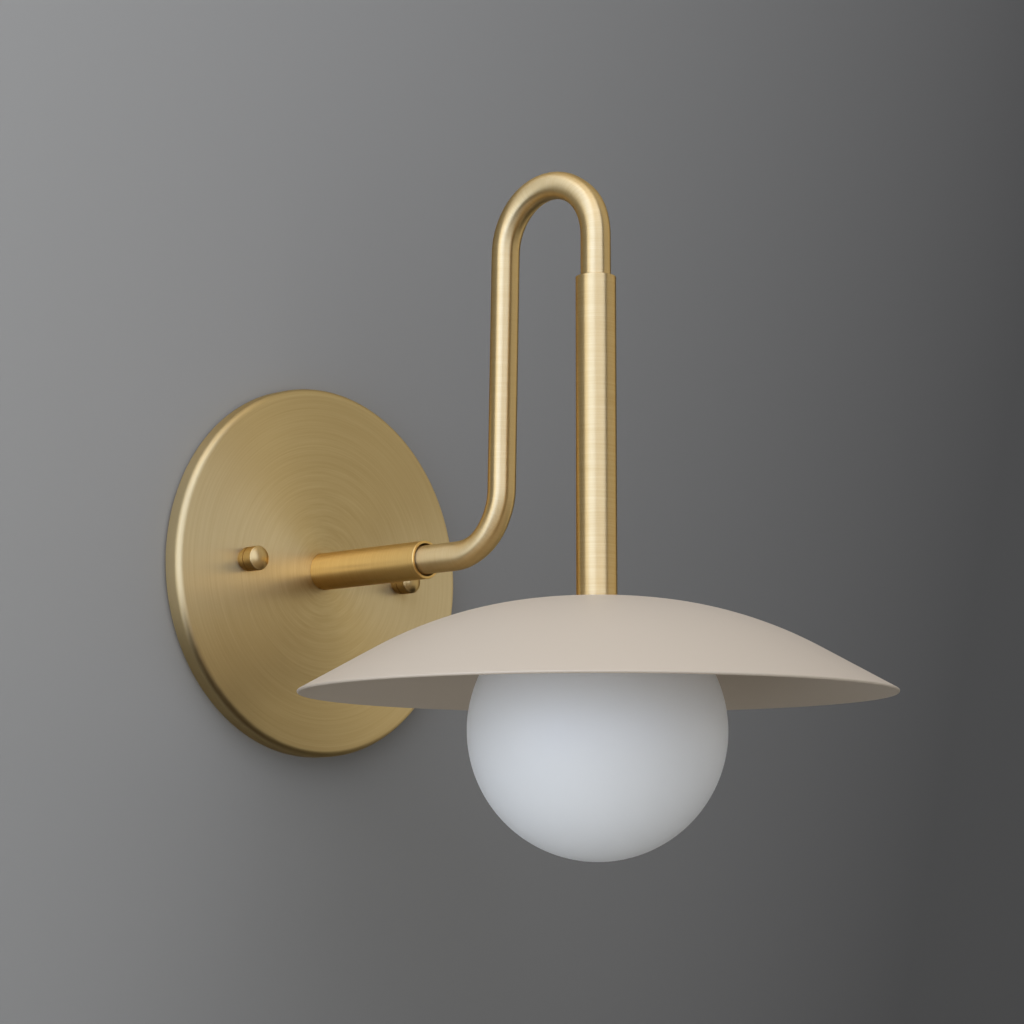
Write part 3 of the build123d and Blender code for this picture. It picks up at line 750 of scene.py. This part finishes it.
def straight_tube():
    """The arm before it is bent: an open tube along Z, divided into short rings."""
    bpy.ops.object.select_all(action="DESELECT")
    bpy.ops.mesh.primitive_cylinder_add(
        vertices=ARM_SIDES, radius=arm_r, depth=arm_length, end_fill_type="NOTHING",
        location=(0, 0, arm_length / 2),
    )
    bpy.ops.object.transform_apply(location=True)
    arm = bpy.context.object
    arm.name = "bent_tube"
    select_none("EDGE")
    for edge in arm.data.edges:
        low, high = (arm.data.vertices[v].co.z for v in edge.vertices)
        edge.select = abs(high - low) > arm_length / 2
    bpy.ops.object.mode_set(mode="EDIT")
    bpy.ops.mesh.subdivide(number_cuts=ARM_CUTS)
    bpy.ops.object.mode_set(mode="OBJECT")
    return arm


def press(arm, start, end, depth, side):
    """Presses in one side of the straight tube between two places along it, and less beyond them."""
    select_none("VERT")
    for vertex in arm.data.vertices:
        vertex.select = start < vertex.co.z < end
    bpy.ops.object.mode_set(mode="EDIT")
    bpy.ops.transform.resize(
        value=(1, 1 - depth / (2 * arm_r), 1), center_override=(0, -side * arm_r, 0),
        use_proportional_edit=True, proportional_edit_falloff="SMOOTH", proportional_size=FLAT_FADE,
    )
    bpy.ops.object.mode_set(mode="OBJECT")


def make_arm():
    arm = straight_tube()
    elbow = elbow_start - arm_start
    elbow_middle = elbow + ELBOW_R * elbow_turn / 2
    press(arm, elbow + FLAT_FADE, arm_length - drop_l - BEND_R, LEG_FLAT, 1)
    press(arm, elbow_middle - FLAT_FADE / 2, elbow_middle + FLAT_FADE / 2, ELBOW_FLAT, -1)
    path = arm_path()
    apply_modifier(arm, "CURVE", object=path, deform_axis="POS_Z")
    apply_modifier(arm, "SOLIDIFY", thickness=ARM_WALL, offset=-1)
    bpy.data.objects.remove(path)
    pick(arm)
    bpy.ops.object.shade_smooth_by_angle(angle=SMOOTH_ANGLE)
    dress(arm, "bent_arm", brass_arm)


# Shade, one spun sheet with a rounded rim

def make_shade():
    angle = SHADE_SKIRT_ANGLE
    lean = math.degrees(angle)
    crown_r = stem_r + SHADE_CROWN_LAND
    shoulder_r = (shade_r - SHADE_SKIRT_W - crown_r) / math.sin(angle)
    hub = (crown_r, crown_z - shoulder_r)
    hole = arm_r + HOLE_GAP
    half = SHADE_WALL / 2
    rim = (shade_r, crown_z - shoulder_r * (1 - math.cos(angle)) - SHADE_SKIRT_W * math.tan(angle))
    ahead = Vector((math.cos(angle), -math.sin(angle)))
    inward = Vector((-math.sin(angle), -math.cos(angle)))
    middle = Vector(rim) + inward * half - ahead * half
    outline = [(hole, crown_z), (crown_r / 2 + hole / 2, crown_z)]
    outline += arc(hub, shoulder_r, 90, 90 - lean, steps=40)
    outline += arc(middle, half, 90 - lean, -90 - lean, steps=8)
    outline += arc(hub, shoulder_r - SHADE_WALL, 90 - lean, 90, steps=40)
    outline += [(hole, crown_z - SHADE_WALL), outline[0]]
    shade = turned("spun_shade", outline, stem_axis, UP, SHADE_STEPS)
    dress(shade, "shade", shade_coat)


# Globe, a blown ball with a collar turned in at its mouth

def make_globe():
    collar_r = math.sqrt(globe_r ** 2 - (globe_rim_z - globe_z) ** 2)
    mouth_r = collar_r - GLOBE_WALL
    inner = globe_r - GLOBE_WALL
    collar_end = globe_rim_z - GLOBE_COLLAR_DEPTH
    outer_stop = math.degrees(math.acos(collar_r / globe_r))
    inner_stop = math.degrees(math.acos(collar_r / inner))
    outline = arc((0, globe_z), globe_r, -90, outer_stop, steps=72)
    outline += [(mouth_r, globe_rim_z), (mouth_r, collar_end), (collar_r, collar_end)]
    outline += arc((0, globe_z), inner, inner_stop, -90, steps=60)
    globe = turned("blown_globe", outline, stem_axis, UP)
    dress(globe, "opal_globe", globe_glass)


# Stage: a painted wall behind the canopy and a pale floor

STAGE_SIDE = 6.0
FLOOR_Z = -1.1
WALL_GAP = 1.0 * MM
WALL_LAP = 1.5 * MM  # how far the canopy covers the edge of the wall's hole
WALL_HOLE_SIDES = 128
# The wall's grey where the light is strongest, and the painted shade that it darkens to
WALL_PAINT_AND_SHADE = ("#B9B7B4", "#5F5E5D")
WALL_GRAIN_MM = 1.2
PAINTED_SHADE_FALL = (1.0, 0.0, -0.35)  # the way in which painted shade darkens the wall, as its light falls off
PAINTED_SHADE_SPAN = 0.40
STIPPLE_BUMP = 0.15
STIPPLE_DEPTH = 0.1 * MM
FLOOR_PAINT = "#DAD5CA"
FLOOR_GRAIN_MM = 2.0
FLOOR_IN_METAL = "#4A3D2C"  # the floor as brass mirrors it, dim and warm


def rolled_paint(name, grain_mm):
    """Matte paint, rolled on with a soft stipple."""
    made, tree, shader = new_material(name, roughness=0.8)
    shader.inputs["Specular IOR Level"].default_value = 0.2
    place = add(tree, "TexCoord").outputs["Object"]
    stipple = add(tree, "TexNoise", {"Vector": place, "Scale": 1 / (grain_mm * MM), "Detail": 3.0})
    height = stipple.outputs["Fac"]
    bump = add(tree, "Bump", {"Height": height, "Strength": STIPPLE_BUMP, "Distance": STIPPLE_DEPTH})
    tree.links.new(bump.outputs[0], shader.inputs["Normal"])
    return made, tree, shader


def wall_paint_and_shade():
    """Grey paint, with painted shade that makes it darker to the lower right where the light falls off; it
    can be seen through from behind.
    """
    made, tree, shader = rolled_paint("grey wall paint", WALL_GRAIN_MM)
    place = add(tree, "TexCoord").outputs["Object"]
    aside = add(tree, "VectorMath", {0: place, 1: PAINTED_SHADE_FALL}, operation="DOT_PRODUCT").outputs["Value"]
    share = add(tree, "MapRange", {"Value": aside, "From Min": -PAINTED_SHADE_SPAN, "From Max": PAINTED_SHADE_SPAN})
    pale, deep = (linear(tone) for tone in WALL_PAINT_AND_SHADE)
    tones = {"Factor": share.outputs[0], MIX_FIRST: pale, MIX_SECOND: deep}
    tint = add(tree, "Mix", tones, data_type="RGBA")
    tree.links.new(tint.outputs[MIX_COLOUR], shader.inputs["Base Color"])
    from_behind = add(tree, "NewGeometry").outputs["Backfacing"]
    clear = add(tree, "BsdfTransparent")
    side = add(tree, "MixShader", {0: from_behind, 1: shader.outputs[0], 2: clear.outputs[0]})
    tree.links.new(side.outputs[0], tree.nodes["Material Output"].inputs["Surface"])
    return made


def floor_paint():
    """Pale paint that brass mirrors as if it were darker."""
    made, tree, shader = rolled_paint("pale floor", FLOOR_GRAIN_MM)
    shader.inputs["Base Color"].default_value = linear(FLOOR_PAINT)
    in_metal = add(tree, "LightPath").outputs["Is Glossy Ray"]
    dim = add(tree, "BsdfDiffuse", {"Color": linear(FLOOR_IN_METAL)})
    side = add(tree, "MixShader", {0: in_metal, 1: shader.outputs[0], 2: dim.outputs[0]})
    tree.links.new(side.outputs[0], tree.nodes["Material Output"].inputs["Surface"])
    return made


def make_stage():
    """The wall has a round hole behind the canopy."""
    hole = canopy_r - WALL_LAP
    bpy.ops.object.select_all(action="DESELECT")
    bpy.ops.mesh.primitive_circle_add(
        vertices=WALL_HOLE_SIDES, radius=hole, location=(0, WALL_GAP, 0), rotation=(math.pi / 2, 0, 0)
    )
    bpy.ops.object.transform_apply()
    wall = bpy.context.object
    wall.name = "wall"
    bpy.ops.object.mode_set(mode="EDIT")
    bpy.ops.mesh.select_all(action="SELECT")
    bpy.ops.mesh.extrude_edges_move()
    grow = STAGE_SIDE / 2 / hole
    bpy.ops.transform.resize(value=(grow, 1, grow), center_override=(0, WALL_GAP, 0))
    bpy.ops.object.mode_set(mode="OBJECT")
    if wall.data.polygons[0].normal.y > 0:
        wall.data.flip_normals()
    wall.data.materials.append(wall_paint_and_shade())
    bpy.ops.mesh.primitive_plane_add(size=STAGE_SIDE, location=(0, 0, FLOOR_Z))
    floor = bpy.context.object
    floor.name = "floor"
    floor.data.materials.append(floor_paint())


# Light: soft boxes to the left, behind the camera, overhead, to the right and behind the wall, in a dim room.
# A light only lights, and a sheen only shows in reflections.

BOX_LOW = -0.50
SHEEN_LOW = -0.18
BOX_HIGH = 1.60
TOP_CORNER = (-1.40, -1.40)
TOP_SIZE = (1.80, 1.38)
BACK_CORNER = (-0.60, -0.30)
BACK_SIZE = (1.20, 0.90)
BACK_Y = 0.90
SHEEN_GAP = 0.01  # from a light to the sheen in front of it
ROOM_COLOUR = "#FBF6EA"
ROOM_SEEN_IN_METAL = 0.63
ROOM_FILL = 0.18
FLAG_START = 0.14
FLAG_W = 0.23
FLAG_Y = -1.25
FLAG_FELT = "#0A0908"


def soft_box(name, corner, along, up, radiance, colour, mirrored):
    """A flat lamp that faces the stem, from a corner and two sides. It only lights, or is only mirrored."""
    corner, along, up = Vector(corner), Vector(along), Vector(up)
    place = corner + along / 2 + up / 2
    facing = along.cross(up).normalized()
    if facing.dot(stem_axis - place) < 0:
        facing = -facing
    lamp = bpy.data.lights.new(name, "AREA")
    lamp.shape = "RECTANGLE"
    lamp.size = along.length
    lamp.size_y = up.length
    lamp.color = linear(colour)[:3]
    lamp.energy = radiance * math.pi * along.length * up.length
    made = bpy.data.objects.new(name, lamp)
    made.location = place
    across = along.normalized()
    turn = Matrix((across, (-facing).cross(across), -facing)).transposed()
    made.rotation_mode = "QUATERNION"
    made.rotation_quaternion = turn.to_quaternion()
    made.visible_camera = False
    made.visible_diffuse = not mirrored
    made.visible_glossy = mirrored
    bpy.context.scene.collection.objects.link(made)


def upright_box(name, start, run, radiance, colour, mirrored=False):
    """A soft box on a line seen from above, which stands up to the top of the room."""
    low = SHEEN_LOW if mirrored else BOX_LOW
    soft_box(name, (*start, low), (*run, 0), (0, 0, BOX_HIGH - low), radiance, colour, mirrored)


def top_box(name, radiance, colour, mirrored=False):
    """The soft box overhead, or the sheen just under it."""
    z = BOX_HIGH - SHEEN_GAP if mirrored else BOX_HIGH
    soft_box(name, (*TOP_CORNER, z), (TOP_SIZE[0], 0, 0), (0, TOP_SIZE[1], 0), radiance, colour, mirrored)


def back_box(name, radiance, colour, mirrored=False):
    """The soft box behind the wall, or the sheen just in front of it."""
    y = BACK_Y - SHEEN_GAP if mirrored else BACK_Y
    corner = (BACK_CORNER[0], y, BACK_CORNER[1])
    soft_box(name, corner, (BACK_SIZE[0], 0, 0), (0, 0, BACK_SIZE[1]), radiance, colour, mirrored)


def make_light():
    upright_box("left_light", (-0.27, -0.01), (-0.83, -0.99), 1.22, "#E9F3FF")
    upright_box("front_light", (-1.10, -1.05), (1.22, -0.20), 0.86, "#F1F6FF")
    top_box("top_light", 1.84, "#F1F6FF")
    upright_box("right_light", (0.95, -0.25), (0.10, -0.90), 0.38, "#E4EEFF")
    back_box("back_light", 1.6, "#FFFFFF")
    upright_box("left_near_sheen", (-0.26, -0.01), (-0.083, -0.099), 1.55, "#E4ECFF", mirrored=True)
    upright_box("left_sheen", (-0.343, -0.109), (-0.747, -0.891), 2.75, "#A6C1FF", mirrored=True)
    upright_box("front_sheen", (-1.10, -1.04), (1.22, -0.20), 1.80, "#B2C9FF", mirrored=True)
    top_box("top_sheen", 0.62, "#FFF0DC", mirrored=True)
    back_box("back_sheen", 0.7, "#FFFFFF", mirrored=True)


def make_room():
    """The room round the stage, which is brighter in reflections than it lights."""
    world = bpy.data.worlds.new("room")
    world.use_nodes = True
    tree = world.node_tree
    in_metal = add(tree, "LightPath").outputs["Is Glossy Ray"]
    level = add(tree, "MapRange", {"Value": in_metal, "To Min": ROOM_FILL, "To Max": ROOM_SEEN_IN_METAL})
    back = tree.nodes["Background"]
    back.inputs["Color"].default_value = linear(ROOM_COLOUR)
    tree.links.new(level.outputs[0], back.inputs["Strength"])
    bpy.context.scene.world = world


def make_flag():
    """A black flag beside the front box, which the tubes mirror as a thin dark line."""
    bpy.ops.object.select_all(action="DESELECT")
    bpy.ops.mesh.primitive_plane_add(size=1, rotation=(math.pi / 2, 0, 0))
    flag = bpy.context.object
    flag.name = "black_flag"
    bpy.ops.transform.resize(value=(FLAG_W, 1, BOX_HIGH - BOX_LOW))
    bpy.ops.transform.translate(value=(FLAG_START + FLAG_W / 2, FLAG_Y, (BOX_HIGH + BOX_LOW) / 2))
    bpy.ops.object.transform_apply()
    felt = new_material("black felt", roughness=1.0, base_color=linear(FLAG_FELT))[0]
    flag.data.materials.append(felt)
    flag.visible_camera = False
    flag.visible_diffuse = False
    flag.visible_shadow = False


# Camera, fitted to the photograph's outlines

CAMERA_PLACE = Vector((-574.427, -657.265, -98.345)) * MM
CAMERA_YAW = 0.7978
CAMERA_PITCH = 0.1368
CAMERA_ROLL = 0.0012
CAMERA_LENS = 88.99
CAMERA_SENSOR = 36.0


def make_camera():
    level = math.cos(CAMERA_PITCH)
    forward = Vector((math.sin(CAMERA_YAW) * level, math.cos(CAMERA_YAW) * level, math.sin(CAMERA_PITCH)))
    data = bpy.data.cameras.new("camera")
    data.lens = CAMERA_LENS
    data.sensor_width = CAMERA_SENSOR
    camera = bpy.data.objects.new("camera", data)
    camera.location = CAMERA_PLACE
    camera.rotation_mode = "QUATERNION"
    camera.rotation_quaternion = forward.to_track_quat("-Z", "Y") @ Quaternion((0, 0, 1), CAMERA_ROLL)
    bpy.context.scene.collection.objects.link(camera)
    bpy.context.scene.camera = camera


finish_inner_pieces()
make_canopy()
make_nuts()
make_wall_ring()
make_stud_nuts()
make_nipples()
make_bushing()
make_tubes()
make_arm()
make_shade()
make_globe()
make_stage()
make_light()
make_room()
make_flag()
make_camera()
bpy.context.scene.view_settings.view_transform = "Standard"
